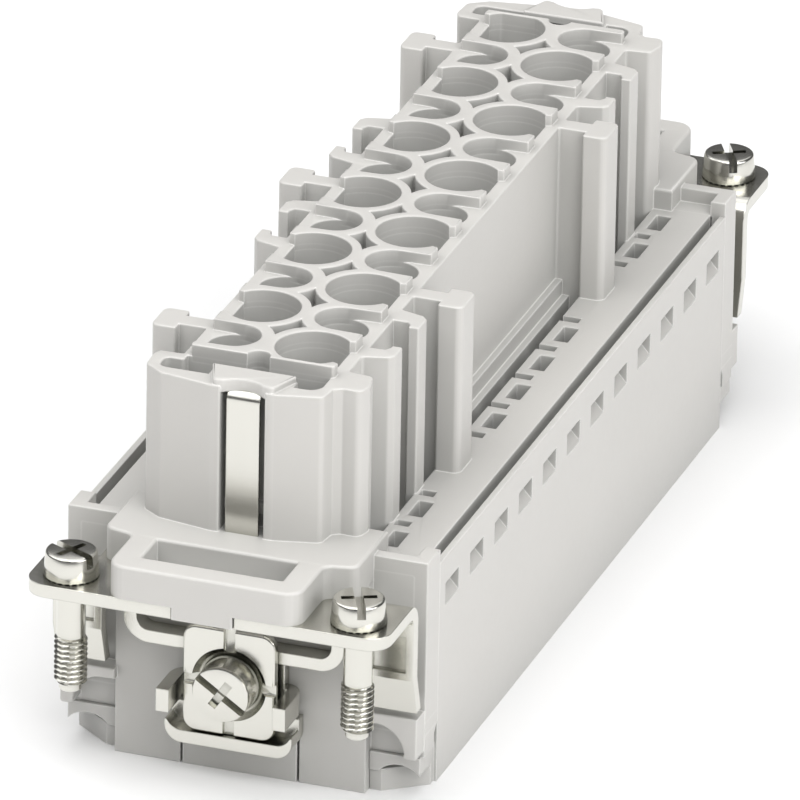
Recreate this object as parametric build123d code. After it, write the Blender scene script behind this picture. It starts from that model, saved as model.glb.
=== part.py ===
from build123d import *
from math import pi, sqrt
import os

# Heavy duty rectangular connector insert, socket side, 24 poles and protective earth.
# Millimetres. +Z points out of the mating face and +Y runs along the insert. The origin is
# the middle of the four fixing screws, on the underside of the ears that they pass through.

# Pole layout
poles_per_column = 12
pole_pitch = 6.71
contact_x = 3.7

# Fixing screws and the plates that hold them
screw_span_x = 27.0
screw_span_y = 104.0
sheet = 1.2
ear_margin = 3.2
overall_width = 34.0

# Heights of the moulded parts
face_z = 19.7
ring_drop = 1.1
block_drop = 0.5
flange_top_z = 4.4
rim_z = 3.7
deck_z = 2.3
slab_under_z = -2.0
base_z = -19.25

# Tower that plugs into the other half
web_half_x = 6.75
tower_half_x = 7.45
web_end_wall = 3.4
tower_nose_y = 45.5
tower_shoulder_y = 44.4
nose_flat_half_x = 3.0
nose_corner_r = 0.8
tower_pocket_outer_y = 43.3
tower_pocket_right_x = 6.4
tower_pocket_left_x = 8.7
tower_pocket_floor_z = 7.0
block_half_x = 4.0
block_front_half_x = 2.8
block_back_y = 42.2

# Chambers in the mating face
round_chamber_x = 3.6
round_chamber_r = 3.45
keyed_chamber_x = 3.85
keyed_chamber_r = 2.4
chamber_outer_x = 6.2
chamber_end_wall = 0.4
chamber_floor_z = 5.0
core_pocket_wall = 0.92
keyed_pocket_wall = 1.2
core_pocket_depth = 2.4
end_notch_r = 1.05
end_notch_x = 0.35

# Ribs outside the tower
tee_neck = 1.9
tee_head = 3.9
tee_head_x = 10.05
tee_outer_x = 12.4
tee_corner_r = 0.7
right_tee_y = 20.13
left_tee_y = 33.3
hook_outer_x = 10.2
hook_lip_x = 9.25
hook_tip = 2.2
hook_neck = 3.2
hook_back = 4.9
hook_root = 5.5
right_hook_y = 29.65
left_hook_y = 10.0
key_bevel = 0.65
corner_bump_inner_y = 38.35
corner_bump_outer_y = 42.1
corner_block_x = 10.0
corner_block_inner_y = 40.1
corner_r = 0.9

# Deck around the tower
deck_half_x = 15.55
channel_outer_x = 10.0
channel_floor_z = -0.6
ledge_x = 8.81
ledge_z = 1.9
upper_ledge_x = 8.12
upper_ledge_z = 3.44
long_slot_x = 11.6
long_slot_width = 1.4
long_slot_length = 3.25
short_slot_x = 11.1
short_slot_width = 1.4
short_slot_length = 1.1
deck_slot_depth = 3.2
rim_wall = 1.2
rim_outer_y = 43.6
side_seam_y = 40.3
skirt_bottom_z = -15.4
post_bevel_z = -13.3

# End flange over the ears
flange_half_x = 11.9
flange_inner_y = 39.8
flange_shoulder_y = 48.0
flange_nose_half_x = 9.05
flange_outer_y = 55.4
flange_corner_r = 1.7
flange_shoulder_r = 1.0
marker_half_x = 6.6
marker_inner_y = 48.85
marker_outer_y = 52.85
marker_floor = 0.7
tongue_gap = 0.12
end_block_y = 44.9

# Shelf and foot at each lower corner
shelf_top_z = -10.8
shelf_thickness = 1.0
shelf_y = 45.6
shelf_bracket_width = 1.6
foot_y = 44.0
foot_top_z = -14.9
foot_lip_z = -17.2
foot_inset = 0.3
foot_corner_y = 41.0
foot_base_y = 43.8
foot_bevel_start = 1.1
foot_arch_r = 2.6
foot_arch_rise = 0.9
seam_gap = 0.05

# Lower housing
lip_wall = 0.57
lip_root_z = 0.2
rear_bore_r = 1.95
rear_mouth_r = 2.6
rear_mouth_depth = 1.0
window_width = 3.7
window_top_z = -0.3
window_bottom_z = -2.5
window_step_z = -1.35
window_sill_depth = 1.1
window_sill_lip = 0.08
window_pocket_x = 14.0
tongue_half_x = 5.4
tongue_top_z = -12.6
tongue_slit = 0.22

# Socket contacts
contact_r = 1.75
contact_bore_r = 1.25
contact_bore_depth = 9.0
contact_slot = 0.5
contact_slot_depth = 6.0
contact_recess = 3.7
collar_r = 1.9
collar_length = 1.5
barrel_r = 1.55
barrel_bore_r = 1.1
barrel_bore_depth = 6.0
contact_tail_z = -9.5
contact_clearance = 0.06

# Earthing plate
ear_inner_x = 2.95
ear_corner_r = 2.2
ear_hole_clearance = 0.06
leg_inner_x = 12.4
leg_back_y = 46.0
leg_bend_z = -6.3
leg_foot_z = -9.9
leg_foot_shift = 1.1
leg_panel_margin = 0.7
leg_panel_depth = 0.35
strap_half_x = 10.4
strap_bottom_z = -6.9
strap_corner_r = 2.4
strap_front_y = 46.9
plate_half_x = 4.6
plate_foot_half_x = 6.0
plate_foot_z = -12.4
plate_bottom_z = -15.6
plate_corner_r = 1.6
prong_outer_x = 6.1
prong_bend_r = 1.7
prong_height = 2.2
prong_tip_y = 50.2
prong_top_z = -9.6
fold_outer_r = 2.0

# Earth clamp
clamp_z = -9.2
washer_half_x = 4.3
washer_half_z = 4.85
washer_thickness = 1.1
washer_corner_r = 1.3
washer_dish_r = 3.3
washer_dish_depth = 0.5
washer_groove = 1.0
clamp_head_r = 2.7
clamp_head_length = 2.8
clamp_shank_r = 1.7
clamp_shank_length = 6.0
clamp_slot_angle = -30.0
clamp_bore_clearance = 0.06

# Fixing screws
head_r = 2.42
head_top_r = 2.2
head_height = 2.38
neck_r = 1.1
shank_r = 1.3
thread_r = 1.5
thread_top_z = -4.7
thread_end_z = -9.3
pilot_r = 1.05
screw_tip_z = -10.04
driver_slot = 0.8
driver_slot_depth = 1.1
near_left_slot_angle = 63.0
near_right_slot_angle = 68.0
far_left_slot_angle = 30.0
far_right_slot_angle = 75.0

# Earthing contact spring in the tower's end
spring_half_x = 1.55
spring_thickness = 0.35
spring_slot_clearance = 0.55
spring_roll_r = 1.0
spring_top_z = 18.2
spring_slot_depth = 2.4
spring_notch_depth = 0.9
spring_roof = 0.6
spring_inset = 0.6
spring_foot_gap = 0.1
spring_foot_z = 2.4

# Worked out from the sizes above
ring_z = face_z - ring_drop
block_z = face_z - block_drop
half_width = overall_width / 2
column_half = (poles_per_column - 1) / 2 * pole_pitch
web_half_y = column_half + web_end_wall
screw_x = screw_span_x / 2
screw_y = screw_span_y / 2
half_length = screw_y + ear_margin
leg_front_y = leg_back_y + sheet
washer_front_y = strap_front_y + washer_thickness
strap_back_y = end_block_y + 0.05
contact_front_z = face_z - contact_recess


def row_y(row):
    return (row - (poles_per_column - 1) / 2) * pole_pitch


def box(x0, x1, y0, y1, z0, z1):
    """A box between two corners."""
    return Pos((x0 + x1) / 2, (y0 + y1) / 2, (z0 + z1) / 2) * Box(abs(x1 - x0), abs(y1 - y0), abs(z1 - z0))


def prism(sketch, z0, z1):
    """A flat outline in X and Y, raised from one height to another."""
    return extrude(Pos(0, 0, z0) * sketch, amount=z1 - z0)


def across(profile, x0, x1):
    """An outline in Y and Z, extruded along X."""
    return Pos(x0, 0, 0) * extrude(Plane.YZ * profile, amount=x1 - x0, dir=(1, 0, 0))


def endwise(profile, y0, y1):
    """An outline in X and Z, extruded along Y."""
    return Pos(0, y0, 0) * extrude(Plane.XZ * profile, amount=y1 - y0, dir=(0, 1, 0))


def both_ends(shape):
    """A shape at the -Y end with its mirror image at the +Y end."""
    return [shape, mirror(shape, about=Plane.XZ)]


def both_sides(shape):
    """A shape on the +X side with its mirror image on the -X side."""
    return [shape, mirror(shape, about=Plane.YZ)]


def all_corners(shape):
    return [copy for side in both_sides(shape) for copy in both_ends(side)]


def rounded_polygon(points, radii):
    """A closed outline with its own radius at each corner, where 0 leaves it sharp."""
    face = make_face(Polyline(*points, close=True))
    for (x, y), radius in zip(points, radii):
        if radius:
            face = fillet(face.vertices().sort_by_distance((x, y, 0))[0], radius)
    return face


# Tower

def tee_rib(y):
    """T-shaped guide rib on the +X side."""
    neck = Pos((tower_half_x + tee_head_x) / 2 - 0.5, y) * Rectangle(tee_head_x - tower_half_x + 1, tee_neck)
    half = tee_head / 2
    corners = [(tee_head_x, y - half), (tee_outer_x, y - half), (tee_outer_x, y + half), (tee_head_x, y + half)]
    return neck + rounded_polygon(corners, [0, tee_corner_r, tee_corner_r, 0])


def hook_rib():
    """Half of the slot that holds a coding pin, as an outline around y = 0."""
    root_x = tower_half_x - 0.5
    points = [
        (root_x, hook_root), (tower_half_x, hook_root), (hook_outer_x - 0.45, hook_back),
        (hook_outer_x, hook_back - 0.6), (hook_outer_x, hook_tip), (hook_lip_x, hook_tip),
        (hook_lip_x - 0.4, hook_neck), (root_x, hook_neck),
    ]
    return rounded_polygon(points, [0, 0, 0.3, 0.3, 0, 0, 0, 0])


def hook_pair(y):
    upper = hook_rib()
    return Pos(0, y) * (upper + mirror(upper, about=Plane.XZ))


def right_corner():
    """Rounded bump where the long side meets the end, at -Y."""
    x = hook_outer_x
    points = [
        (tower_half_x - 1, -corner_bump_outer_y), (x, -corner_bump_outer_y),
        (x, -corner_bump_inner_y), (tower_half_x - 1, -corner_bump_inner_y),
    ]
    return rounded_polygon(points, [0, corner_r, corner_r, 0])


def left_corner():
    points = [
        (-tower_half_x + 1, -tower_shoulder_y), (-corner_block_x, -tower_shoulder_y),
        (-corner_block_x, -corner_block_inner_y), (-tower_half_x + 1, -corner_block_inner_y),
    ]
    return rounded_polygon(points, [0, 1.6, 0.5, 0])


def tower_nose():
    """The end wall, a little proud in the middle, at -Y."""
    points = [
        (-tower_half_x - 0.6, -tower_shoulder_y), (-nose_flat_half_x, -tower_nose_y),
        (nose_flat_half_x, -tower_nose_y), (tower_half_x, -tower_shoulder_y),
        (tower_half_x, -corner_bump_inner_y), (-tower_half_x, -corner_bump_inner_y),
    ]
    return rounded_polygon(points, [0, 0, 0, nose_corner_r, 0, 0])


def tower_outline():
    outline = Rectangle(2 * tower_half_x, 2 * corner_bump_outer_y)
    for end_piece in (tower_nose(), right_corner(), left_corner()):
        outline += both_ends(end_piece)
    for y in (-right_tee_y, right_tee_y):
        outline += tee_rib(y)
    for y in (-left_tee_y, 0, left_tee_y):
        outline += mirror(tee_rib(y), about=Plane.YZ)
    for y in (-right_hook_y, right_hook_y):
        outline += hook_pair(y)
    for y in (-left_hook_y, left_hook_y):
        outline += mirror(hook_pair(y), about=Plane.YZ)
    return outline


def is_round(side, row):
    """Round and keyed chambers alternate along each column, out of step with each other."""
    return (row % 2 == 0) == (side > 0)


def chamber_outline(side, row):
    y = row_y(row)
    if is_round(side, row):
        limit_y = web_half_y - chamber_end_wall
        window = Pos(side * chamber_outer_x / 2, 0) * Rectangle(chamber_outer_x, 2 * limit_y)
        return Pos(side * round_chamber_x, y) * Circle(round_chamber_r) & window
    return Pos(side * keyed_chamber_x, y) * Circle(keyed_chamber_r)


def fin_gap(side, row):
    """The opening's outer end, where it runs out between two fins above the ring."""
    start = keyed_chamber_x
    half = keyed_chamber_r
    if is_round(side, row):
        start = chamber_outer_x - 0.1
        half = sqrt(round_chamber_r**2 - (start - round_chamber_x) ** 2)
    middle = side * (start + web_half_x + 0.5) / 2
    return Pos(middle, row_y(row)) * Rectangle(web_half_x + 0.5 - start, 2 * half)


def core_pocket(gap):
    """The sink that keeps the walls thin between four neighbouring chambers."""
    y = row_y(gap) + pole_pitch / 2
    pocket = Pos(0, y) * Rectangle(web_half_x, pole_pitch * 0.9)
    for side in (-1, 1):
        for row in (gap, gap + 1):
            if is_round(side, row):
                ring = Pos(side * round_chamber_x, row_y(row)) * Circle(round_chamber_r + core_pocket_wall)
            else:
                ring = Pos(side * keyed_chamber_x, row_y(row)) * Circle(keyed_chamber_r + keyed_pocket_wall)
            pocket -= ring
    faces = pocket.faces().sort_by_distance((0, y, 0))
    return faces[0]


def end_pocket():
    """The gap between the chambers and the end wall, at -Y."""
    left = -tower_pocket_left_x
    right = tower_pocket_right_x
    step_x = -tower_half_x + 0.5
    points = [
        (left, -tower_pocket_outer_y), (right, -tower_pocket_outer_y), (right, -web_half_y),
        (step_x, -web_half_y), (step_x, -web_half_y - 1), (left, -web_half_y - 1),
    ]
    return rounded_polygon(points, [0.8, 1.2, 0, 0, 0, 0.5])


def spring_block():
    """Raised block over the earthing spring, tapering to the end wall, at -Y."""
    points = [
        (-block_half_x, -block_back_y), (-block_front_half_x, -tower_nose_y),
        (block_front_half_x, -tower_nose_y), (block_half_x, -block_back_y),
    ]
    notch_width = spring_half_x + spring_slot_clearance
    rise = spring_notch_depth
    notch_r = (notch_width**2 + rise**2) / (2 * rise)
    notch = Pos(0, -tower_nose_y + rise - notch_r) * Circle(notch_r)
    return make_face(Polyline(*points, close=True)) - notch


def key_bevel_cut(y, side):
    """Bevelled top edge of the wall inside a coding slot."""
    profile = Polygon(
        (tower_half_x - key_bevel, ring_z + 0.01), (tower_half_x + 0.01, ring_z + 0.01),
        (tower_half_x + 0.01, ring_z - 1.2 * key_bevel), align=None)
    cut = endwise(profile, y - hook_neck, y + hook_neck)
    return cut if side > 0 else mirror(cut, about=Plane.YZ)


def tower():
    outline = tower_outline()
    body = prism(outline, sheet, ring_z)
    body += prism(outline & Rectangle(4 * tower_half_x, 2 * end_block_y), channel_floor_z, sheet)
    body += prism(Rectangle(2 * web_half_x, 2 * web_half_y), ring_z - 0.5, face_z)
    cuts = both_ends(prism(end_pocket(), tower_pocket_floor_z, face_z + 1))
    notch = prism(Pos(-end_notch_x, -web_half_y) * Circle(end_notch_r), tower_pocket_floor_z, face_z + 1)
    cuts += [notch, Rot(0, 0, 180) * notch]
    for side in (-1, 1):
        for row in range(poles_per_column):
            cuts.append(prism(chamber_outline(side, row), chamber_floor_z, face_z + 1))
            cuts.append(prism(fin_gap(side, row), ring_z, face_z + 1))
    for gap in range(poles_per_column - 1):
        cuts.append(prism(core_pocket(gap), face_z - core_pocket_depth, face_z + 1))
    for y in (-right_hook_y, right_hook_y):
        cuts.append(key_bevel_cut(y, 1))
    for y in (-left_hook_y, left_hook_y):
        cuts.append(key_bevel_cut(y, -1))
    body -= cuts
    body += both_ends(prism(spring_block(), tower_pocket_floor_z, block_z))
    slot_half = spring_half_x + spring_slot_clearance
    slot = box(-slot_half, slot_half, -tower_nose_y - 1, -tower_nose_y + spring_slot_depth,
               flange_top_z, block_z - spring_roof)
    return body - both_ends(slot)


# Deck, rims and flange

def flange_outline():
    points = [
        (-flange_half_x, -flange_inner_y), (-flange_half_x, -flange_shoulder_y),
        (-flange_nose_half_x, -flange_shoulder_y), (-flange_nose_half_x, -flange_outer_y),
        (flange_nose_half_x, -flange_outer_y), (flange_nose_half_x, -flange_shoulder_y),
        (flange_half_x, -flange_shoulder_y), (flange_half_x, -flange_inner_y),
    ]
    shoulder = min(flange_shoulder_r, 0.45 * (flange_half_x - flange_nose_half_x))
    nose = flange_corner_r
    return rounded_polygon(points, [0, shoulder, shoulder, nose, nose, shoulder, shoulder, 0])


def flange():
    body = prism(flange_outline(), sheet, flange_top_z)
    tongue_half = ear_inner_x - tongue_gap
    body += box(-tongue_half, tongue_half, -flange_outer_y, -end_block_y, 0, sheet + 0.1)
    marker = box(-marker_half_x, marker_half_x, -marker_outer_y, -marker_inner_y,
                 sheet + marker_floor, flange_top_z + 1)
    return body - marker


def spring_socket():
    """Slot in the flange that the foot of the earthing spring stands in, at -Y."""
    half = spring_half_x + spring_foot_gap
    y1 = -tower_nose_y + spring_inset
    return box(-half, half, y1 - spring_thickness - spring_foot_gap, y1 + spring_foot_gap,
               spring_foot_z - spring_foot_gap, flange_top_z + 0.1)


def end_block():
    """Central block under the flange that the earth clamp screws stand in."""
    body = box(-flange_half_x, flange_half_x, -end_block_y, -side_seam_y, base_z, sheet + 0.1)
    gap_half = tongue_half_x + tongue_slit
    body -= box(-gap_half, gap_half, -end_block_y - 1, -side_seam_y + 1, base_z - 1, tongue_top_z)
    bore_r = clamp_shank_r + clamp_bore_clearance
    bore = Pos(0, -end_block_y, clamp_z) * Rot(90, 0, 0) * Cylinder(bore_r, 2 * (end_block_y - side_seam_y))
    return body - bore


def corner_column():
    """Rim, end wall and shelf at the +X, -Y corner, down to the foot."""
    x0 = flange_half_x - 0.2
    wall = box(x0, half_width, -rim_outer_y, -rim_outer_y + rim_wall, skirt_bottom_z, rim_z)
    profile = Polygon(
        (-rim_outer_y, rim_z), (-side_seam_y, rim_z), (-side_seam_y, post_bevel_z),
        (-foot_corner_y, post_bevel_z - 0.8), (-foot_corner_y, skirt_bottom_z),
        (-rim_outer_y, skirt_bottom_z), align=None)
    post = across(profile, deck_half_x, half_width)
    filler = box(x0, deck_half_x + 0.1, -rim_outer_y + rim_wall - 0.1, -side_seam_y,
                 skirt_bottom_z, deck_z)
    return wall + post + filler + shelf(x0)


def shelf(x0):
    """Ledge under the leg, with its outer side curving down as a bracket."""
    outer = half_width - 0.1
    y1 = -rim_outer_y + 0.2
    points = [
        (x0, shelf_top_z), (outer, shelf_top_z), (outer, foot_top_z),
        (outer - shelf_bracket_width, foot_top_z), (outer - 2.6, shelf_top_z - shelf_thickness),
        (x0, shelf_top_z - shelf_thickness),
    ]
    curve = RadiusArc(points[3], points[4], -3.2)
    profile = make_face(Polyline(*points[:4]) + curve + Polyline(points[4], points[5], points[0]))
    body = endwise(profile, -shelf_y, y1)
    return fillet(body.edges().filter_by(Axis.Z).sort_by(Axis.X)[-2:].sort_by(Axis.Y)[0], 0.8)


def tee_places(side):
    """Where the T-ribs of one side stand along Y."""
    return (-right_tee_y, right_tee_y) if side > 0 else (-left_tee_y, 0, left_tee_y)


def deck_slots():
    """Long slots beside the poles, left out beside a T-rib, and short ones between the poles."""
    cuts = []
    for side in (-1, 1):
        for row in range(poles_per_column):
            if min(abs(row_y(row) - y) for y in tee_places(side)) > pole_pitch:
                cuts.append(Pos(side * long_slot_x, row_y(row), deck_z) * Box(
                    long_slot_width, long_slot_length, 2 * deck_slot_depth))
        for gap in range(poles_per_column - 1):
            y = row_y(gap) + pole_pitch / 2
            x = side * short_slot_x
            cuts.append(Pos(x, y, deck_z) * Box(short_slot_width, short_slot_length, 2 * deck_slot_depth))
    return cuts


def plain_stretches():
    """Stretches of tower wall without ribs, as side, start and end along Y."""
    near_tee = right_tee_y - tee_neck / 2
    tee = left_tee_y - tee_neck / 2
    hook = left_hook_y + hook_root
    return [(1, -near_tee, near_tee), (-1, hook, tee), (-1, -tee, -hook)]


def wall_ledges():
    """Stepped foot of the tower's plain walls."""
    parts = []
    for side, y0, y1 in plain_stretches():
        for x, z in ((upper_ledge_x, upper_ledge_z), (ledge_x, ledge_z)):
            parts.append(box(side * (tower_half_x - 0.2), side * x, y0 - 0.1, y1 + 0.1, channel_floor_z, z))
    return parts


def plain_slot_mouths():
    """Short deck slots run out into the channel along the plain walls."""
    cuts = []
    for side, y0, y1 in plain_stretches():
        for gap in range(poles_per_column - 1):
            y = row_y(gap) + pole_pitch / 2
            if y0 + short_slot_length < y < y1 - short_slot_length:
                half = short_slot_length / 2
                cuts.append(box(side * (channel_outer_x - 0.2), side * short_slot_x, y - half, y + half,
                                deck_z - deck_slot_depth, deck_z + 1))
    return cuts


def contact_carrier():
    deck = box(-deck_half_x, deck_half_x, -rim_outer_y + rim_wall, rim_outer_y - rim_wall, slab_under_z, deck_z)
    channel_half_y = corner_bump_outer_y - 1
    for side in (-1, 1):
        channel = box(side * (tower_half_x - 0.5), side * channel_outer_x, -channel_half_y, channel_half_y,
                      channel_floor_z, deck_z + 1)
        deck -= channel
    deck -= deck_slots() + plain_slot_mouths()
    deck += all_corners(corner_column())
    deck += both_ends(end_block())
    deck += both_ends(flange())
    body = deck + tower() + wall_ledges()
    bores = both_ends(spring_socket())
    for row in range(poles_per_column):
        bores += both_sides(window_cut(row))
    for side in (-1, 1):
        for row in range(poles_per_column):
            bore = Cylinder(contact_r + contact_clearance, 20)
            bores.append(Pos(side * contact_x, row_y(row), slab_under_z) * bore)
    return body - bores


# Lower housing

def window_cut(row):
    """Square window on the +X side: a ramp in its lower half, and a pocket behind the upper one."""
    half = window_width / 2
    sill_x = half_width - window_sill_depth
    outer = half_width + 1
    outline = Polygon(
        (window_pocket_x, window_step_z), (sill_x, window_step_z), (half_width - window_sill_lip, window_bottom_z),
        (outer, window_bottom_z), (outer, window_top_z), (window_pocket_x, window_top_z), align=None)
    return Pos(0, row_y(row), 0) * endwise(outline, -half, half)


def end_foot():
    """Foot below the shelf at the +X, -Y corner: an arched lip over a bevelled base."""
    x0 = flange_half_x + seam_gap
    inner_y = -side_seam_y + 1
    lip = box(x0, half_width - foot_inset, -foot_y, inner_y, foot_lip_z, skirt_bottom_z)
    arch_x = (x0 + half_width) / 2 + foot_inset
    arch_length = foot_y - foot_corner_y
    arch = Pos(arch_x, -foot_y, foot_lip_z + foot_arch_rise - foot_arch_r) * Rot(90, 0, 0) * Cylinder(
        foot_arch_r, arch_length)
    outer = half_width - foot_inset
    bevel_x = x0 + foot_bevel_start
    outline = Polygon(
        (x0, inner_y), (x0, -foot_base_y), (bevel_x, -foot_base_y), (outer, -foot_corner_y), (outer, inner_y),
        align=None)
    return lip - arch + prism(outline, base_z, foot_lip_z + 0.1)


def latch_tongue():
    """Tongue between two slits in the end block, at -Y."""
    return box(-tongue_half_x, tongue_half_x, -end_block_y, -side_seam_y + 0.5, base_z, tongue_top_z - tongue_slit)


def rear_bore(side, row):
    depth = slab_under_z - base_z
    x = side * contact_x
    y = row_y(row)
    bore = Pos(x, y, base_z + depth / 2) * Cylinder(rear_bore_r, depth + 0.01)
    mouth = Pos(x, y, base_z + rear_mouth_depth / 2) * Cone(rear_mouth_r, rear_bore_r, rear_mouth_depth)
    return [bore, mouth]


def terminal_housing():
    seam_y = side_seam_y - 0.02
    body = box(-half_width, half_width, -seam_y, seam_y, base_z, slab_under_z)
    wall = box(deck_half_x + 0.02, half_width, -seam_y, seam_y, slab_under_z - 0.1, lip_root_z)
    lip = box(half_width - lip_wall, half_width, -seam_y, seam_y, slab_under_z, deck_z)
    body += both_sides(wall) + both_sides(lip)
    body += all_corners(end_foot())
    body += both_ends(latch_tongue())
    cuts = []
    for row in range(poles_per_column):
        cuts += both_sides(window_cut(row))
        for side in (-1, 1):
            cuts += rear_bore(side, row)
    return body - cuts


# Contacts

def socket_contact(side, row):
    """Turned socket with a slotted front and a crimp barrel, collar against the carrier."""
    collar_z = slab_under_z - collar_length
    front_bore_z = contact_front_z - contact_bore_depth
    profile = Polygon(
        (0, contact_tail_z + barrel_bore_depth), (barrel_bore_r, contact_tail_z + barrel_bore_depth),
        (barrel_bore_r, contact_tail_z), (barrel_r, contact_tail_z), (barrel_r, collar_z), (collar_r, collar_z),
        (collar_r, slab_under_z), (contact_r, slab_under_z), (contact_r, contact_front_z),
        (contact_bore_r, contact_front_z), (contact_bore_r, front_bore_z), (0, front_bore_z), align=None)
    body = revolve(Plane.XZ * profile, axis=Axis.Z)
    slot = box(-contact_r - 1, contact_r + 1, -contact_slot / 2, contact_slot / 2,
               contact_front_z - contact_slot_depth, contact_front_z + 1)
    return Pos(side * contact_x, row_y(row), 0) * (body - slot)


# Earthing plate, its clamp and its spring, all at -Y

def ear(side):
    """Flat ear with the screw hole, and the stretch of it that lies under the flange."""
    points = [
        (ear_inner_x, -half_length), (half_width, -half_length), (half_width, -leg_back_y),
        (ear_inner_x, -leg_back_y),
    ]
    outline = rounded_polygon(points, [0, ear_corner_r, 0, 0])
    outline += Pos((ear_inner_x + flange_half_x) / 2, -(leg_back_y + strap_back_y) / 2 - 0.1) * Rectangle(
        flange_half_x - ear_inner_x, leg_back_y - strap_back_y + 0.2)
    outline -= Pos(screw_x, -screw_y) * Circle(shank_r + ear_hole_clearance)
    fold_y = -leg_back_y - fold_outer_r / 2
    outline -= Pos((leg_inner_x + half_width) / 2, fold_y) * Rectangle(half_width - leg_inner_x, fold_outer_r)
    body = prism(outline, 0, sheet)
    return body if side > 0 else mirror(body, about=Plane.YZ)


def leg():
    """Leg folded down behind the ear, kicked in at its foot, with a pressed panel."""
    flat_y = -leg_back_y - fold_outer_r - 0.3
    corners = [
        (-leg_front_y, 0), (-leg_front_y, leg_bend_z), (-leg_front_y + leg_foot_shift, leg_foot_z),
        (-leg_back_y + leg_foot_shift, leg_foot_z), (-leg_back_y, leg_bend_z), (-leg_back_y, sheet),
        (flat_y, sheet), (flat_y, 0),
    ]
    profile = rounded_polygon(corners, [fold_outer_r - sheet, 0, 0, 0, 0, fold_outer_r, 0, 0])
    body = across(profile, leg_inner_x, half_width)
    panel = box(leg_inner_x + leg_panel_margin, half_width - leg_panel_margin, -leg_front_y - 1,
                -leg_front_y + leg_panel_depth, leg_bend_z + leg_panel_margin, -fold_outer_r)
    return body - panel


def strap():
    """Trough that hangs under the ears and carries the clamp plate."""
    inner_half = strap_half_x - sheet
    inner_bottom = strap_bottom_z + sheet
    outer = rounded_polygon(
        [(-strap_half_x, 0.1), (-strap_half_x, strap_bottom_z), (strap_half_x, strap_bottom_z), (strap_half_x, 0.1)],
        [0, strap_corner_r, strap_corner_r, 0])
    inner = rounded_polygon(
        [(-inner_half, 0.2), (-inner_half, inner_bottom), (inner_half, inner_bottom), (inner_half, 0.2)],
        [0, strap_corner_r - sheet, strap_corner_r - sheet, 0])
    return endwise(outer - inner, -strap_front_y, -strap_back_y)


def clamp_plate():
    """Plate behind the clamp washer, wider at its foot, which is turned forwards as a lip."""
    top_z = strap_bottom_z + 0.1
    face = rounded_polygon(
        [(-plate_half_x, top_z), (-plate_half_x, plate_foot_z), (-plate_foot_half_x, plate_foot_z),
         (-plate_foot_half_x, plate_bottom_z), (plate_foot_half_x, plate_bottom_z),
         (plate_foot_half_x, plate_foot_z), (plate_half_x, plate_foot_z), (plate_half_x, top_z)],
        [0, 0, 0, plate_corner_r, plate_corner_r, 0, 0, 0])
    body = endwise(face, -strap_back_y - sheet, -strap_back_y)
    shell = face - Pos(0, sheet) * face
    rim = endwise(shell & Pos(0, plate_bottom_z) * Rectangle(2 * half_width, 2 * plate_corner_r + 1),
                  -strap_front_y - sheet, -strap_back_y)
    bore = Pos(0, -strap_back_y, clamp_z) * Rot(90, 0, 0) * Cylinder(clamp_shank_r + clamp_bore_clearance, 8)
    return body + rim - bore


def prong():
    """Tab that leaves the plate sideways and is bent forwards round a corner, on the +X side."""
    back_y = -strap_back_y
    front_y = back_y - sheet
    outline = rounded_polygon(
        [(plate_half_x - 0.5, back_y), (prong_outer_x, back_y), (prong_outer_x, -prong_tip_y),
         (prong_outer_x - sheet, -prong_tip_y), (prong_outer_x - sheet, front_y), (plate_half_x - 0.5, front_y)],
        [0, prong_bend_r, 0, 0, 0, 0])
    return prism(outline, prong_top_z - prong_height, prong_top_z)


def ground_plate():
    body = strap() + clamp_plate() + both_sides(prong()) + ear(1) + ear(-1)
    return body + both_sides(leg())


def clamp_washer():
    """Square washer with a round dish and four grooves, pressed on the wire by the screw."""
    half_x = washer_half_x
    half_z = washer_half_z
    corners = [(-half_x, -half_z), (half_x, -half_z), (half_x, half_z), (-half_x, half_z)]
    body = endwise(rounded_polygon(corners, [washer_corner_r] * 4), -washer_thickness, 0)
    dish_y = -washer_thickness
    dish = Pos(0, dish_y, 0) * Rot(90, 0, 0) * Cylinder(washer_dish_r, 2 * washer_dish_depth)
    grooves = [
        box(-washer_groove / 2, washer_groove / 2, dish_y - 1, dish_y + washer_dish_depth, -10, 10),
        box(-10, 10, dish_y - 1, dish_y + washer_dish_depth, -washer_groove / 2, washer_groove / 2),
    ]
    bore = Rot(90, 0, 0) * Cylinder(clamp_shank_r + clamp_bore_clearance, 8)
    return Pos(0, -strap_front_y, clamp_z) * (body - dish - grooves - bore)


def clamp_screw():
    seat_y = -washer_front_y + washer_dish_depth
    head = Pos(0, seat_y - clamp_head_length / 2, 0) * Rot(90, 0, 0) * Cylinder(clamp_head_r, clamp_head_length)
    shank_end = seat_y + clamp_shank_length
    shank = Pos(0, (seat_y + shank_end) / 2, 0) * Rot(90, 0, 0) * Cylinder(clamp_shank_r, clamp_shank_length)
    face_y = seat_y - clamp_head_length
    slot = box(-clamp_head_r - 1, clamp_head_r + 1, face_y - 1, face_y + driver_slot_depth,
               -driver_slot / 2, driver_slot / 2)
    cross = box(-driver_slot / 2, driver_slot / 2, face_y - 1, face_y + driver_slot_depth,
                -clamp_head_r * 0.7, clamp_head_r * 0.7)
    cuts = [Rot(0, clamp_slot_angle * -1, 0) * cut for cut in (slot, cross)]
    return Pos(0, 0, clamp_z) * (head + shank - cuts)


def ground_spring():
    """Straight strip in the end wall's slot, rolled inwards at its top."""
    back_y = -tower_nose_y + spring_inset
    front_y = back_y - spring_thickness
    end_y = back_y + spring_roll_r
    corners = [
        (front_y, spring_foot_z), (front_y, spring_top_z), (end_y, spring_top_z),
        (end_y, spring_top_z - spring_thickness), (back_y, spring_top_z - spring_thickness), (back_y, spring_foot_z),
    ]
    face = rounded_polygon(corners, [0, spring_roll_r, 0, 0, spring_roll_r - spring_thickness, 0])
    return across(face, -spring_half_x, spring_half_x)


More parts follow.
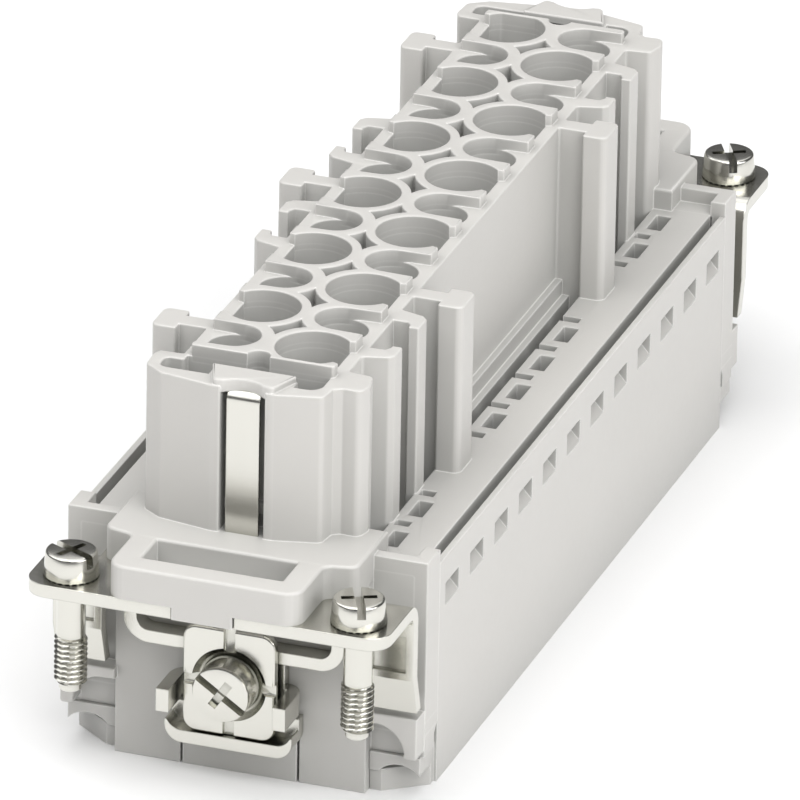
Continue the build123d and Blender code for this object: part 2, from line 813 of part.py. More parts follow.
def fixing_screw(slot_angle):
    """Captive screw on the ear, with a turned neck in the ear's hole and a plain shank below it."""
    head_base = sheet
    head_top = sheet + head_height
    profile = Polygon(
        (0, screw_tip_z), (pilot_r, screw_tip_z), (pilot_r, thread_end_z - 0.2), (thread_r, thread_end_z + 0.2),
        (thread_r, thread_top_z), (shank_r, thread_top_z + 0.15), (shank_r, 0), (neck_r, 0),
        (neck_r, head_base), (head_r, head_base), (head_top_r, head_top), (0, head_top), align=None)
    body = revolve(Plane.XZ * profile, axis=Axis.Z)
    slot = box(-head_r - 1, head_r + 1, -driver_slot / 2, driver_slot / 2, head_top - driver_slot_depth, head_top + 1)
    cross = box(-driver_slot / 2, driver_slot / 2, -head_top_r * 0.7, head_top_r * 0.7,
                head_top - driver_slot_depth, head_top + 1)
    return Rot(0, 0, slot_angle) * (body - slot - cross)


def save(name, shape):
    solids = shape.solids()
    export_step(solids[0] if len(solids) == 1 else Compound(children=list(solids)), f"parts/{name}.step")


def main():
    os.makedirs("parts", exist_ok=True)
    save("contact_carrier", contact_carrier())
    save("terminal_housing", terminal_housing())
    for end, turn in (("near", 0), ("far", 180)):
        place = Rot(0, 0, turn)
        save(f"ground_plate_{end}", place * ground_plate())
        save(f"clamp_washer_{end}", place * clamp_washer())
        save(f"clamp_screw_{end}", place * clamp_screw())
        save(f"ground_spring_{end}", place * ground_spring())
    screws = {
        "near_left": (-1, -1, near_left_slot_angle), "near_right": (1, -1, near_right_slot_angle),
        "far_left": (-1, 1, far_left_slot_angle), "far_right": (1, 1, far_right_slot_angle),
    }
    for name, (side, end, angle) in screws.items():
        save(f"fixing_screw_{name}", Pos(side * screw_x, end * screw_y, 0) * fixing_screw(angle))
    for side, label in ((-1, "left"), (1, "right")):
        for row in range(poles_per_column):
            save(f"socket_contact_{label}_{row + 1:02d}", socket_contact(side, row))


main()
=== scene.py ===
# %% [markdown]
# Connector insert, dressed for a studio picture. The measured solids come in first as a fixed frame.
# Everything below is placed in that frame, in metres, and rides on one of its bodies.

# %% Frame
import bpy
import bmesh
from math import acos, atan2, cos, pi, radians, sin, sqrt, tau
from mathutils import Matrix, Vector


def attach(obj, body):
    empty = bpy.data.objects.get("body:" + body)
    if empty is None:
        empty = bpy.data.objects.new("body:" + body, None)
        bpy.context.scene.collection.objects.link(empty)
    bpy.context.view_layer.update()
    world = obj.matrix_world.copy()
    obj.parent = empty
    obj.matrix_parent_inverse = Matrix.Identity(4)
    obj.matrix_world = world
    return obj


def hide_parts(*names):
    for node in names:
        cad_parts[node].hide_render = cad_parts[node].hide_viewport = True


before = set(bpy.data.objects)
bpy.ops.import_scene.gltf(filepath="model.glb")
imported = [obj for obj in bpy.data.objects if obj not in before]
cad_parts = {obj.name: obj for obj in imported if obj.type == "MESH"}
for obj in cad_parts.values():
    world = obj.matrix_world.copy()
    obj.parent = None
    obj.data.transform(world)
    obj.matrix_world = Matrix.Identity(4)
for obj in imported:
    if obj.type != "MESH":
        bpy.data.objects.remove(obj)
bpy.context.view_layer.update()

scene = bpy.context.scene
mm = 0.001
sides = (-1, 1)

# %% [markdown]
# The camera stands far off with a long lens, as a catalogue picture does, so that parallel edges stay
# nearly parallel. Its place and lens were worked out from the fixing screws, the chambers and the
# long edges, so every size below hangs on the spacing of those screws.

# %% Camera
camera_place = (407.77, -1192.15, 579.51)
camera_turn = (65.2225, -0.9615, 19.3645)
camera_lens = 683.84
lens = bpy.data.cameras.new("camera")
lens.lens = camera_lens
lens.sensor_width = 36
lens.clip_end = 10
camera = bpy.data.objects.new("camera", lens)
camera.location = Vector(camera_place) * mm
camera.rotation_euler = [radians(angle) for angle in camera_turn]
scene.collection.objects.link(camera)
scene.camera = camera

# %% [markdown]
# Outlines are lists of corners in millimetres. A corner may carry a radius, and this helper swaps it
# for a short arc, the way a toolmaker breaks the edge of a cavity.

# %% Outlines
def rounded(corners, steps=5):
    """Corner list with (x, y) or (x, y, radius) entries, given back with arcs at the radii."""
    outline = []
    count = len(corners)
    for index, corner in enumerate(corners):
        here = Vector(corner[:2])
        radius = corner[2] if len(corner) > 2 else 0
        if not radius:
            outline.append(tuple(here))
            continue
        back = (Vector(corners[index - 1][:2]) - here).normalized()
        ahead = (Vector(corners[(index + 1) % count][:2]) - here).normalized()
        half = acos(max(-1, min(1, back.dot(ahead)))) / 2
        if abs(half - pi / 2) < 0.01:
            outline.append(tuple(here))
            continue
        reach = radius / (sin(half) / cos(half))
        middle = here + (back + ahead).normalized() * (radius / sin(half))
        start = here + back * reach - middle
        sweep = start.angle_signed(here + ahead * reach - middle)
        for step in range(steps + 1):
            spoke = start.copy()
            spoke.rotate(Matrix.Rotation(-sweep * step / steps, 2))
            outline.append(tuple(middle + spoke))
    return outline


def arc(x, y, radius, start, stop, steps=24):
    """Points on a circle about (x, y), with angles in radians."""
    return [(x + radius * cos(start + (stop - start) * k / steps),
             y + radius * sin(start + (stop - start) * k / steps)) for k in range(steps + 1)]


def ring(x, y, radius, steps=48):
    return arc(x, y, radius, 0, tau, steps)[:-1]


def mirrored(points, x=1, y=1):
    """The same corners, mirrored by a sign for each direction, radii kept."""
    return [(point[0] * x, point[1] * y, *point[2:]) for point in points]


# %% [markdown]
# Most of the moulding is straight-drawn walls. A filled 2D curve with an extrusion and a small bevel
# gives each of them clean flat faces and a true rounded edge, and inner outlines become holes. That
# is far tidier than cutting holes with booleans and rounding what is left.

# %% Walls from outlines
turns = {
    "Z": Matrix.Identity(4),
    "Y": Matrix(((1, 0, 0, 0), (0, 0, 1, 0), (0, 1, 0, 0), (0, 0, 0, 1))),
    "X": Matrix(((0, 0, 1, 0), (1, 0, 0, 0), (0, 1, 0, 0), (0, 0, 0, 1))),
}


def area(outline):
    return sum(a[0] * b[1] - b[0] * a[1] for a, b in zip(outline, outline[1:] + outline[:1])) / 2


def plate(outer, low, high, edge=0.15, holes=(), facing="Z", foot=True):
    """Wall with a rounded edge, from an outline and its holes, between two levels along one axis.

    Without a foot its low end is left open and square, to stand on another wall of the same outline.
    """
    share, sunk = 2.1, 0.02
    stands_on = low
    if not foot:
        low -= min(edge, (high - low) / share) + sunk
    curve = bpy.data.curves.new("outline", "CURVE")
    curve.dimensions = "2D"
    curve.fill_mode = "BOTH"
    for index, outline in enumerate([outer, *holes]):
        outward = area(outline) > 0
        if outward != (index == 0):
            outline = outline[::-1]
        spline = curve.splines.new("POLY")
        spline.points.add(len(outline) - 1)
        for point, (x, y) in zip(spline.points, outline):
            point.co = (x * mm, y * mm, 0, 1)
        spline.use_cyclic_u = True
    edge = min(edge, (high - low) / share)
    curve.extrude = ((high - low) / 2 - edge) * mm
    curve.bevel_depth = edge * mm
    curve.offset = -edge * mm
    curve.bevel_resolution = 2
    holder = bpy.data.objects.new("outline", curve)
    mesh = bpy.data.meshes.new_from_object(holder)
    bpy.data.objects.remove(holder)
    bpy.data.curves.remove(curve)
    mesh.transform(Matrix.Translation((0, 0, (low + high) / 2 * mm)))
    if not foot:
        cut = bmesh.new()
        cut.from_mesh(mesh)
        bmesh.ops.bisect_plane(cut, geom=cut.verts[:] + cut.edges[:] + cut.faces[:], clear_inner=True,
                               plane_co=(0, 0, stands_on * mm), plane_no=(0, 0, 1))
        cut.to_mesh(mesh)
        cut.free()
    mesh.transform(turns[facing])
    return mesh


def bar(x0, x1, y0, y1, z0, z1, edge=0.15):
    """Straight block between two corners, with rounded edges."""
    x0, x1 = sorted((x0, x1))
    y0, y1 = sorted((y0, y1))
    return plate([(x0, y0), (x1, y0), (x1, y1), (x0, y1)], z0, z1, edge)


# %% [markdown]
# A piece gathers its walls into one object. Normals are made to point outwards wall by wall, near
# points are joined, and corners over 40 degrees stay sharp while arcs are shaded smooth.

# %% Pieces
sharp_over = 40


def welded(mesh):
    """The same wall with its near points joined and its faces turned outwards."""
    part = bmesh.new()
    part.from_mesh(mesh)
    bmesh.ops.remove_doubles(part, verts=part.verts, dist=1e-6)
    bmesh.ops.recalc_face_normals(part, faces=part.faces)
    part.to_mesh(mesh)
    part.free()
    return mesh


def piece(name, walls, body, replaced):
    """One object made of several walls, riding on a body of the frame."""
    whole = bmesh.new()
    for wall in walls:
        whole.from_mesh(welded(wall))
    mesh = bpy.data.meshes.new(name)
    whole.to_mesh(mesh)
    whole.free()
    mesh.shade_smooth()
    mesh.set_sharp_from_angle(angle=radians(sharp_over))
    thing = bpy.data.objects.new(name, mesh)
    scene.collection.objects.link(thing)
    even = thing.modifiers.new("even shading", "WEIGHTED_NORMAL")
    even.keep_sharp = True
    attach(thing, body)
    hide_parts(*replaced)
    print(name, len(mesh.polygons), "faces")
    return thing


def flipped(walls, x=1, y=1, z=1):
    """Copies of some walls, mirrored by a sign for each direction."""
    copies = []
    for wall in walls:
        copy = wall.copy()
        copy.transform(Matrix.Diagonal((x, y, z, 1)))
        copies.append(copy)
    return copies


def at_both_ends(walls):
    return walls + flipped(walls, y=-1)


def at_corners(walls):
    right = at_both_ends(walls)
    return right + flipped(right, x=-1)


# %% [markdown]
# The tower is what plugs into the other half: two columns of chambers inside one wall. The wall's
# outside carries T-shaped guide ribs and pairs of hooked ribs that hold coding pins. All of that is
# one closed outline, walked once round from the near end, up the right side and down the left.

# %% Sizes of the tower
face_z, ring_z, block_z = 19.7, 18.6, 19.2
flange_z, rim_z, deck_z = 4.4, 3.7, 2.3
slab_z, base_z, sheet = -2.0, -19.25, 1.2
pitch, rows = 6.71, range(12)
web_x, web_y, wall_x = 6.75, 40.305, 7.45
round_x, round_r, keyed_x, keyed_r, flat_x = 3.6, 3.45, 3.85, 2.4, 6.2
nose_y, shoulder_y = 45.5, 44.45
channel_x, channel_z = 10.0, -0.6
tees = {1: (-20.13, 20.13), -1: (-33.3, 0, 33.3)}
hooks = {1: (-29.65, 29.65), -1: (-10.0, 10.0)}


def row_y(row):
    return (row - (len(rows) - 1) / 2) * pitch


def is_round(side, row):
    return (row % 2 == 0) == (side > 0)


# %% Guide ribs
neck_x, neck_half = 10.05, 0.95
head_x, head_half = 12.4, 1.95
hook_x, lip_x, throat_x = 10.2, 9.2, 8.85
mouth_half, lip_half, throat_half = 2.15, 2.6, 3.15
spring_x, spring_y = 2.1, 43.1


def tee(y):
    """T-shaped rib, walked in the direction of +Y."""
    return [(wall_x, y - neck_half, 0.25), (neck_x, y - neck_half), (neck_x, y - head_half, 0.25),
            (head_x, y - head_half, 0.7), (head_x, y + head_half, 0.7),
            (neck_x, y + head_half, 0.25), (neck_x, y + neck_half), (wall_x, y + neck_half, 0.25)]


def hook_pair(y):
    """Two hooked ribs with the coding slot between them."""
    lower = [(wall_x, y - 5.3, 0.4), (9.75, y - 4.65, 0.45), (hook_x, y - 4.1, 0.2),
             (hook_x, y - mouth_half, 0.2), (lip_x, y - mouth_half, 0.15), (lip_x, y - lip_half),
             (throat_x, y - throat_half, 0.2), (wall_x, y - throat_half)]
    upper = [(wall_x, y + throat_half), (throat_x, y + throat_half, 0.2), (lip_x, y + lip_half),
             (lip_x, y + mouth_half, 0.15), (hook_x, y + mouth_half, 0.2), (hook_x, y + 4.3, 0.2),
             (9.7, y + 4.9, 0.45), (wall_x, y + 5.5, 0.4)]
    return lower + upper


right_corner = [(spring_x, -spring_y), (spring_x, -nose_y, 0.15), (3.0, -nose_y),
                (7.2, -shoulder_y, 0.6), (wall_x, -42.5, 0.3), (8.2, -42.0, 0.3), (9.9, -42.1, 0.7),
                (10.24, -40.6, 0.7), (9.85, -38.6, 0.6), (wall_x, -38.35, 0.3)]
left_corner = [(-spring_x, -spring_y), (-spring_x, -nose_y, 0.15), (-3.0, -nose_y),
               (-8.0, -44.6, 1.0), (-9.85, -43.3, 0.7), (-10.0, -41.0, 0.6),
               (-9.65, -40.15, 0.4), (-wall_x, -40.1, 0.2)]


def side_ribs(side):
    """Every rib of one long side, in the direction of +Y."""
    found = [(y, tee(y)) for y in tees[side]] + [(y, hook_pair(y)) for y in hooks[side]]
    return [point for y, points in sorted(found, key=lambda pair: pair[0]) for point in points]


def tower_outline():
    right = right_corner + side_ribs(1) + mirrored(right_corner, y=-1)[::-1]
    left = left_corner + mirrored(side_ribs(-1), x=-1) + mirrored(left_corner, y=-1)[::-1]
    return rounded(right + left[::-1])


# %% [markdown]
# Chambers alternate down each column: a wide round one with a flat on its outer side, then a narrower
# one. Both open through the edge of the web, which stands a little higher than the wall and has small
# sinks where four chambers meet, so that no wall is thick enough to shrink.

# %% Chambers and sinks
slack, end_margin = 0.01, 0.4
round_wall, keyed_wall = 0.92, 1.2
notch_x, notch_r = 0.35, 1.05
chamber_steps = 44


def chamber(side, row):
    """Hole in the lower storey, a hair wider than the web's, so that no two faces coincide."""
    y = row_y(row)
    if not is_round(side, row):
        return ring(side * keyed_x, y, keyed_r + slack)
    radius = round_r + slack
    cut = acos((flat_x - round_x) / radius)
    points = arc(side * round_x, y, radius, cut, tau - cut, chamber_steps)
    if side < 0:
        points = [(2 * side * round_x - x, py) for x, py in points]
    limit = web_y - end_margin + slack
    return [(x, max(-limit, min(limit, py))) for x, py in points]


def meeting(one, other, near):
    """Crossing of two circles (x, y, radius) that lies nearer to a point."""
    a, b = Vector(one[:2]), Vector(other[:2])
    gap = (b - a).length
    along = (one[2] ** 2 - other[2] ** 2 + gap ** 2) / (2 * gap)
    rise = sqrt(max(0, one[2] ** 2 - along ** 2))
    axis = (b - a) / gap
    across = Vector((-axis.y, axis.x))
    found = [a + axis * along + across * rise * sign for sign in (-1, 1)]
    return min(found, key=lambda point: (point - near).length)


def sink(row, grown=0.0):
    """Shallow pocket between four neighbouring chambers."""
    middle = Vector((0, row_y(row) + pitch / 2))
    circles = []
    for side, which in ((1, row), (1, row + 1), (-1, row + 1), (-1, row)):
        if is_round(side, which):
            circles.append((side * round_x, row_y(which), round_r + round_wall - grown))
        else:
            circles.append((side * keyed_x, row_y(which), keyed_r + keyed_wall - grown))
    corners = [meeting(circles[k - 1], circles[k], middle) for k in range(4)]
    outline = []
    for k, (x, y, radius) in enumerate(circles):
        start, stop = corners[k], corners[(k + 1) % 4]
        first = atan2(start.y - y, start.x - x)
        sweep = atan2(stop.y - y, stop.x - x) - first
        sweep = (sweep + pi) % tau - pi
        outline += arc(x, y, radius, first, first + sweep, 6)[:-1]
    return outline


def end_gap(middle_x):
    """Gap between the web and the end wall at the near end, with its half-round notch."""
    inner = -web_y + slack
    notch = arc(middle_x, inner, notch_r, 0, pi, 12)
    points = [(6.4, -43.3, 1.2), (6.4, inner)] + notch + [
        (-7.0, inner), (-7.0, -41.3, 0.3), (-8.7, -41.3, 0.5), (-8.7, -43.3, 0.8), (-4.0, -43.3),
        (-4.0, -42.2), (4.0, -42.2), (4.0, -43.3)]
    return rounded(points)


# %% [markdown]
# The web is what the eye meets first: a flat comb whose teeth reach out between the chambers. It is one
# closed outline too, so its top stays a single flat face, and its two long edges are the same walk with
# the kinds of chamber swapped.

# %% Web
round_half, keyed_half = 2.42, 2.52


def web_side(side):
    """One comb edge of the raised web, in the direction of +Y."""
    edge = []
    for row in rows:
        y = row_y(row)
        if is_round(side, row):
            cut = acos((flat_x - round_x) / round_r)
            inner = arc(round_x, y, round_r, -cut, -tau + cut, chamber_steps)
            half = round_half
        else:
            inner = arc(keyed_x, y, keyed_r, -pi / 2, -3 * pi / 2, 24)
            half = keyed_half
        limit = web_y - end_margin
        inner = [(x, max(-limit, min(limit, py))) for x, py in inner]
        edge += [(web_x, y - half, 0.1)] + inner + [(web_x, y + half, 0.1)]
    return mirrored(edge, x=side)


def web_outline():
    notch = arc(-notch_x, -web_y, notch_r, pi, 0, 12)
    far_notch = mirrored(notch, x=-1, y=-1)
    right = [(web_x, -web_y, 0.3)] + web_side(1) + [(web_x, web_y, 0.3)]
    left = [(-web_x, -web_y, 0.3)] + web_side(-1) + [(-web_x, web_y, 0.3)]
    return rounded(notch + right + far_notch + left[::-1])


sinks = [sink(row) for row in list(rows)[:-1]]
wide_sinks = [sink(row, slack) for row in list(rows)[:-1]]
chambers = [chamber(side, row) for side in sides for row in rows]
near_gap = end_gap(-notch_x)
far_gap = mirrored(end_gap(notch_x), y=-1)
print("sinks:", len(sinks), "chambers:", len(chambers))

# %% [markdown]
# The tower goes up in two storeys: the wall with all its holes, then the raised web on top. Their
# hidden ends overlap by more than the rounding, so no groove shows where one stands on the other.

# %% Tower walls
hidden_edge = 0.05
web_overlap, block_overlap = 0.6, 0.7
sink_low, sink_high = 16.2, 17.2
gap_low, gap_high = 6.0, 7.0
chamber_low, chamber_high = 4.4, 5.0
bow_r, bow_height, bow_angle = 2.9, 0.9, 0.87
tower_holes = chambers + wide_sinks + [near_gap, far_gap]
tower = [plate(tower_outline(), channel_z, ring_z, 0.15, tower_holes)]
tower.append(plate(web_outline(), ring_z - web_overlap, face_z, 0.14, sinks))
for outline in sinks:
    tower.append(plate(outline, sink_low, sink_high, hidden_edge))
bow = arc(0, -nose_y + bow_height - bow_r, bow_r, pi - bow_angle, bow_angle, 12)
block = rounded([(-4.0, -42.2, 0.15), (-2.8, -nose_y, 0.5), *bow, (2.8, -nose_y, 0.5), (4.0, -42.2, 0.15)])
tower += at_both_ends([plate(block, ring_z - block_overlap, block_z, 0.2)])
floor_middle = [(-6.9, -43.8), (6.9, -43.8), (6.9, -39.0), (-6.9, -39.0)]
floor_corner = [(-9.0, -43.0), (-6.5, -43.6), (-6.5, -40.8), (-9.0, -41.0)]
floors = [plate(outline, gap_low, gap_high, hidden_edge) for outline in (floor_middle, floor_corner)]
tower += at_both_ends(floors)
tower.append(bar(-7, 7, -40.9, 40.9, chamber_low, chamber_high))
print("walls of the tower:", len(tower))

# %% [markdown]
# Along the plain stretches of the tower its foot steps out twice, which stiffens the wall where the
# mating half's guide ends.

# %% Foot ledges
root_x = 6.9
ledge_spans = {1: [(-19.2, 19.2)], -1: [(15.4, 32.4), (-32.4, -15.4)]}
for side, spans in ledge_spans.items():
    for y0, y1 in spans:
        for ledge_x, ledge_z in ((8.81, 1.9), (8.12, 3.44)):
            tower.append(bar(side * root_x, side * ledge_x, y0, y1, channel_z, ledge_z, 0.1))

# %% [markdown]
# The deck surrounds the tower's foot. Long slots stand beside the poles, except next to a T-rib, with
# short ones between them that open inwards where the wall is plain.

# %% Deck
deck_x, deck_y, deck_low, pocket_top = 15.5, 42.5, -0.3, -0.2
pocket_x, pocket_half = 14.0, 1.84
slot_width, slot_r = 1.4, 0.1
long_x, long_slot = 11.6, 3.25
short_x, short_slot = 11.1, 1.1
channel_end, slot_end = 41.3, 40.5
slot_bottom, slot_top = slab_z - 0.5, deck_z - 3.2
plain_spans = {1: [(-18.2, 18.2)], -1: [(15.8, 31.3), (-31.3, -15.8)]}


def slot_at(side, x, y, width, length):
    left, right = side * x - width / 2, side * x + width / 2
    low, high = y - length / 2, y + length / 2
    return rounded([(left, low, slot_r), (right, low, slot_r), (right, high, slot_r), (left, high, slot_r)])


def is_plain(side, y):
    return any(low < y < high for low, high in plain_spans[side])


gaps = [row_y(row) + pitch / 2 for row in list(rows)[:-1]]


def channel(side):
    """Open channel beside the tower, with the short slots that run into it."""
    end_y, inner_x, outer_x = 41.1, 6.95, 11.8
    outline = [(channel_x, -end_y)]
    for y in gaps:
        if is_plain(side, y):
            low, high = y - short_slot / 2, y + short_slot / 2
            outline += [(channel_x, low), (outer_x, low), (outer_x, high), (channel_x, high)]
    outline += [(channel_x, end_y), (inner_x, end_y), (inner_x, -end_y)]
    return mirrored(outline, x=side)


deck_holes = [channel(side) for side in sides]
for side in sides:
    clear_rows = [row for row in rows if min(abs(row_y(row) - y) for y in tees[side]) > pitch]
    deck_holes += [slot_at(side, long_x, row_y(row), slot_width, long_slot) for row in clear_rows]
    deck_holes += [slot_at(side, short_x, y, slot_width, short_slot) for y in gaps if not is_plain(side, y)]
deck_side = [(deck_x, -deck_y)]
for row in rows:
    low, high = row_y(row) - pocket_half, row_y(row) + pocket_half
    deck_side += [(deck_x, low), (pocket_x, low), (pocket_x, high), (deck_x, high)]
deck_side += [(deck_x, deck_y)]
deck_edge = [(-deck_x, -deck_y), (deck_x, -deck_y), (deck_x, deck_y), (-deck_x, deck_y)]
pocketed = deck_side + mirrored(deck_side, x=-1)[::-1]
deck = [plate(deck_edge, deck_low, deck_z, 0.12, deck_holes)]
deck.append(plate(pocketed, slab_z, pocket_top, 0.02, deck_holes))
for side in sides:
    deck.append(bar(side * root_x, side * 10.2, -channel_end, channel_end, slab_z, channel_z, hidden_edge))
    deck.append(bar(side * 9.9, side * 12.6, -slot_end, slot_end, slot_bottom, slot_top, hidden_edge))
print("holes in the deck:", len(deck_holes))

# %% [markdown]
# At each corner a rim stands above the deck and runs down as a column, and a ledge half way down
# has a hollow beneath it.

# %% Corner columns
side_x, end_y = 17.0, 43.6
column_x, column_y = 11.7, 40.3
wedge_z, foot_z = -13.3, -15.4
rim = rounded([(column_x, -end_y), (side_x, -end_y, 0.15), (side_x, -column_y), (15.55, -column_y),
               (15.55, -42.4, 0.2), (column_x, -42.4)])
corner = [plate(rim, wedge_z, rim_z, 0.15)]
column = rounded([(-end_y, foot_z), (-41.0, foot_z), (-41.0, -14.1), (-column_y, wedge_z),
                  (-column_y, -12), (-end_y, -12)])
corner.append(plate(column, 15.6, 16.99, 0.1, facing="X"))
corner.append(bar(column_x, 15.7, -43.59, -column_y, foot_z, deck_z - 0.01, 0.1))
ledge_face = [(column_x, -10.8), (16.9, -10.8), (16.9, -14.9, 0.3), (15.3, -14.9, 0.3)]
ledge_face += arc(12.8, -14.7, 2.9, 0.1, 1.35, 10) + [(column_x, -11.8)]
corner.append(plate(rounded(ledge_face), -45.6, -43.4, 0.2, facing="Y"))
corners = at_corners(corner)
print("walls of the corners:", len(corners))

# %% [markdown]
# The flange over the ears carries a marking recess, left blank here. Its front and the tongue that
# drops between the ears are one flush face.

# %% Flange and end block
flange_x, flange_y = 11.9, 55.4
recess_x, recess_near, recess_far = 6.6, 52.85, 48.85
tongue_x, latch_x, latch_z = 2.83, 5.62, -12.6
clamp_z, clamp_bore_r = -9.2, 1.76
flange_half = [(flange_x, -39.8), (flange_x, -48.0, 1.1), (9.05, -48.6, 0.9), (9.05, -flange_y, 1.7)]
flange = rounded(flange_half + mirrored(flange_half, x=-1)[::-1])
recess = rounded([(-recess_x, -recess_near, 0.1), (recess_x, -recess_near, 0.1),
                  (recess_x, -recess_far, 0.1), (-recess_x, -recess_far, 0.1)])
end_walls = [plate(flange, sheet, flange_z, 0.3, [recess], foot=False)]
end_walls.append(bar(-6.8, 6.8, -53.0, -48.7, sheet + 0.1, sheet + 0.7, hidden_edge))
tongue = [(-tongue_x, -flange_y), (tongue_x, -flange_y), (tongue_x, -44.0), (-tongue_x, -44.0)]
end_walls += flipped([plate(tongue, -sheet, 0, 0.08, foot=False)], z=-1)
block_face = [(-flange_x, base_z), (-latch_x, base_z), (-latch_x, latch_z), (latch_x, latch_z),
              (latch_x, base_z), (flange_x, base_z), (flange_x, sheet + 0.1), (-flange_x, sheet + 0.1)]
clamp_bore = ring(0, clamp_z, clamp_bore_r)
end_walls.append(plate(block_face, -44.9, -column_y, 0.12, [clamp_bore], facing="Y"))
end_walls = at_both_ends(end_walls)

carrier = piece("carrier_moulding", tower + deck + corners + end_walls, "insert",
                ["contact_carrier"])

# %% [markdown]
# Screws are turned parts: one profile swept round their axis. The thread is a helix drawn as real
# geometry, because its flanks catch the light in a close view.

# %% Turned parts
def turned(profile, steps=48):
    """Profile of (radius, height) pairs, swept once round the Z axis."""
    mesh = bpy.data.meshes.new("turned")
    sweep = bmesh.new()
    rings = []
    for radius, height in profile:
        if radius == 0:
            rings.append([sweep.verts.new((0, 0, height * mm))])
            continue
        rings.append([sweep.verts.new((radius * cos(tau * k / steps) * mm, radius * sin(tau * k / steps) * mm,
                                       height * mm)) for k in range(steps)])
    for lower, upper in zip(rings, rings[1:]):
        for k in range(steps):
            corners_of = [lower[k % len(lower)], lower[(k + 1) % len(lower)],
                          upper[(k + 1) % len(upper)], upper[k % len(upper)]]
            distinct = list(dict.fromkeys(corners_of))
            if len(distinct) > 2:
                sweep.faces.new(distinct)
    sweep.to_mesh(mesh)
    sweep.free()
    return mesh


def thread(radius, core, pitch_of_thread, low, high, steps=32):
    """Threaded length: rings whose radius rises and falls along a helix."""
    mesh = bpy.data.meshes.new("thread")
    screw = bmesh.new()
    per_turn, flank, flat = 8, 1.5, 0.25
    levels = int((high - low) / pitch_of_thread * per_turn)
    rings = []
    for level in range(levels + 1):
        height = low + (high - low) * level / levels
        circle = []
        for k in range(steps):
            phase = (height / pitch_of_thread - k / steps) % 1
            crest = 1 - abs(2 * phase - 1)
            fade = min(1, 4 * (height - low) / pitch_of_thread, 4 * (high - height) / pitch_of_thread)
            r = core + (radius - core) * min(1, max(0, crest * flank - flat)) * fade
            point = (r * cos(tau * k / steps) * mm, r * sin(tau * k / steps) * mm, height * mm)
            circle.append(screw.verts.new(point))
        rings.append(circle)
    for lower, upper in zip(rings, rings[1:]):
        for k in range(steps):
            screw.faces.new((lower[k], lower[(k + 1) % steps], upper[(k + 1) % steps], upper[k]))
    screw.faces.new(rings[0])
    screw.faces.new(rings[-1])
    screw.to_mesh(mesh)
    screw.free()
    return mesh


# %% [markdown]
# The heads have a straight slot crossed by a short one. Here, and in the clamp's washer further on, a
# boolean is the plain choice for the cut, because a straight slot meets a round edge.

# %% Screw heads
def carved(mesh, cutters):
    """A closed wall with some others cut away from it."""
    block = bpy.data.objects.new("block", welded(mesh))
    scene.collection.objects.link(block)
    for cutter in cutters:
        tool = bpy.data.objects.new("tool", welded(cutter))
        scene.collection.objects.link(tool)
        cut = block.modifiers.new("cut", "BOOLEAN")
        cut.operation = "DIFFERENCE"
        cut.object = tool
        cut.solver = "EXACT"
    bpy.context.view_layer.update()
    made = bpy.data.meshes.new_from_object(block.evaluated_get(bpy.context.evaluated_depsgraph_get()))
    for cut in list(block.modifiers):
        bpy.data.objects.remove(cut.object)
    bpy.data.objects.remove(block)
    return made


def with_slots(mesh, widths, depth, top, halves):
    """Head with a long slot and a shorter, shallower one across it, cut into its face."""
    slots = [bar(-x, x, -y, y, top - deep, top + 1, 0.02)
             for x, y, deep in ((halves[0], widths[0] / 2, depth), (widths[1] / 2, halves[1], depth * 0.8))]
    return carved(mesh, slots)


def fixing_screw():
    """Captive screw along +Z, with its head on the ear and zero at the ear's underside."""
    seat, top = sheet + 0.1, sheet + 2.38
    tooth_count, tooth_depth, tooth_draw = 24, 0.1, 0.93
    head = turned([(0, seat), (2.5, seat), (2.53, sheet + 0.16), (2.33, top - 0.22), (2.27, top - 0.09),
                   (2.15, top - 0.02), (2.05, top), (0, top)], 72)
    teeth = turned([(0, sheet), (2.44, sheet), (2.48, sheet + 0.14), (0, sheet + 0.14)], 144)
    for corner in teeth.vertices:
        around = atan2(corner.co.y, corner.co.x)
        on_rim = corner.co.xy.length > 2 * mm and corner.co.z < seat * mm
        if on_rim and cos(tooth_count * around) < -0.4:
            corner.co.xy *= tooth_draw
            corner.co.z += tooth_depth * mm
    shank = turned([(0, -4.8), (1.3, -4.8), (1.3, sheet), (0, sheet)])
    tip = turned([(0, -10.04), (0.9, -10.04), (1.05, -9.9), (1.05, -9.2), (0, -9.2)])
    slotted = with_slots(head, widths=(0.78, 0.6), depth=1.1, top=top, halves=(3.0, 1.6))
    rolled = thread(radius=1.5, core=1.22, pitch_of_thread=0.5, low=-9.3, high=-4.7)
    return [slotted, teeth, shank, tip, rolled]


def spun(walls, turn):
    copies = [wall.copy() for wall in walls]
    for copy in copies:
        copy.transform(turn)
    return copies


screw_x, screw_y = 13.5, 52
screw_angles = {"near_left": -26, "near_right": -65, "far_left": 30, "far_right": -62}
screw_walls = fixing_screw()
metal_pieces = []
for name, angle in screw_angles.items():
    x = -screw_x if "left" in name else screw_x
    y = -screw_y if "near" in name else screw_y
    turn = Matrix.Translation((x * mm, y * mm, 0)) @ Matrix.Rotation(radians(angle), 4, "Z")
    metal_pieces.append(piece(f"captive_screw_{name}", spun(screw_walls, turn), f"fixing_screw_{name}",
                              [f"fixing_screw_{name}"]))


# %% [markdown]
# Each end's clamp is a pressed square washer with a round dish for the screw's head and crossed grooves
# that bite on the wire. It is built flat and then stood against its plate, so one washer serves both ends.

# %% Clamps
washer_sheet, dish_depth = 1.1, 0.5
strap_y, clamp_turn = 46.9, -34


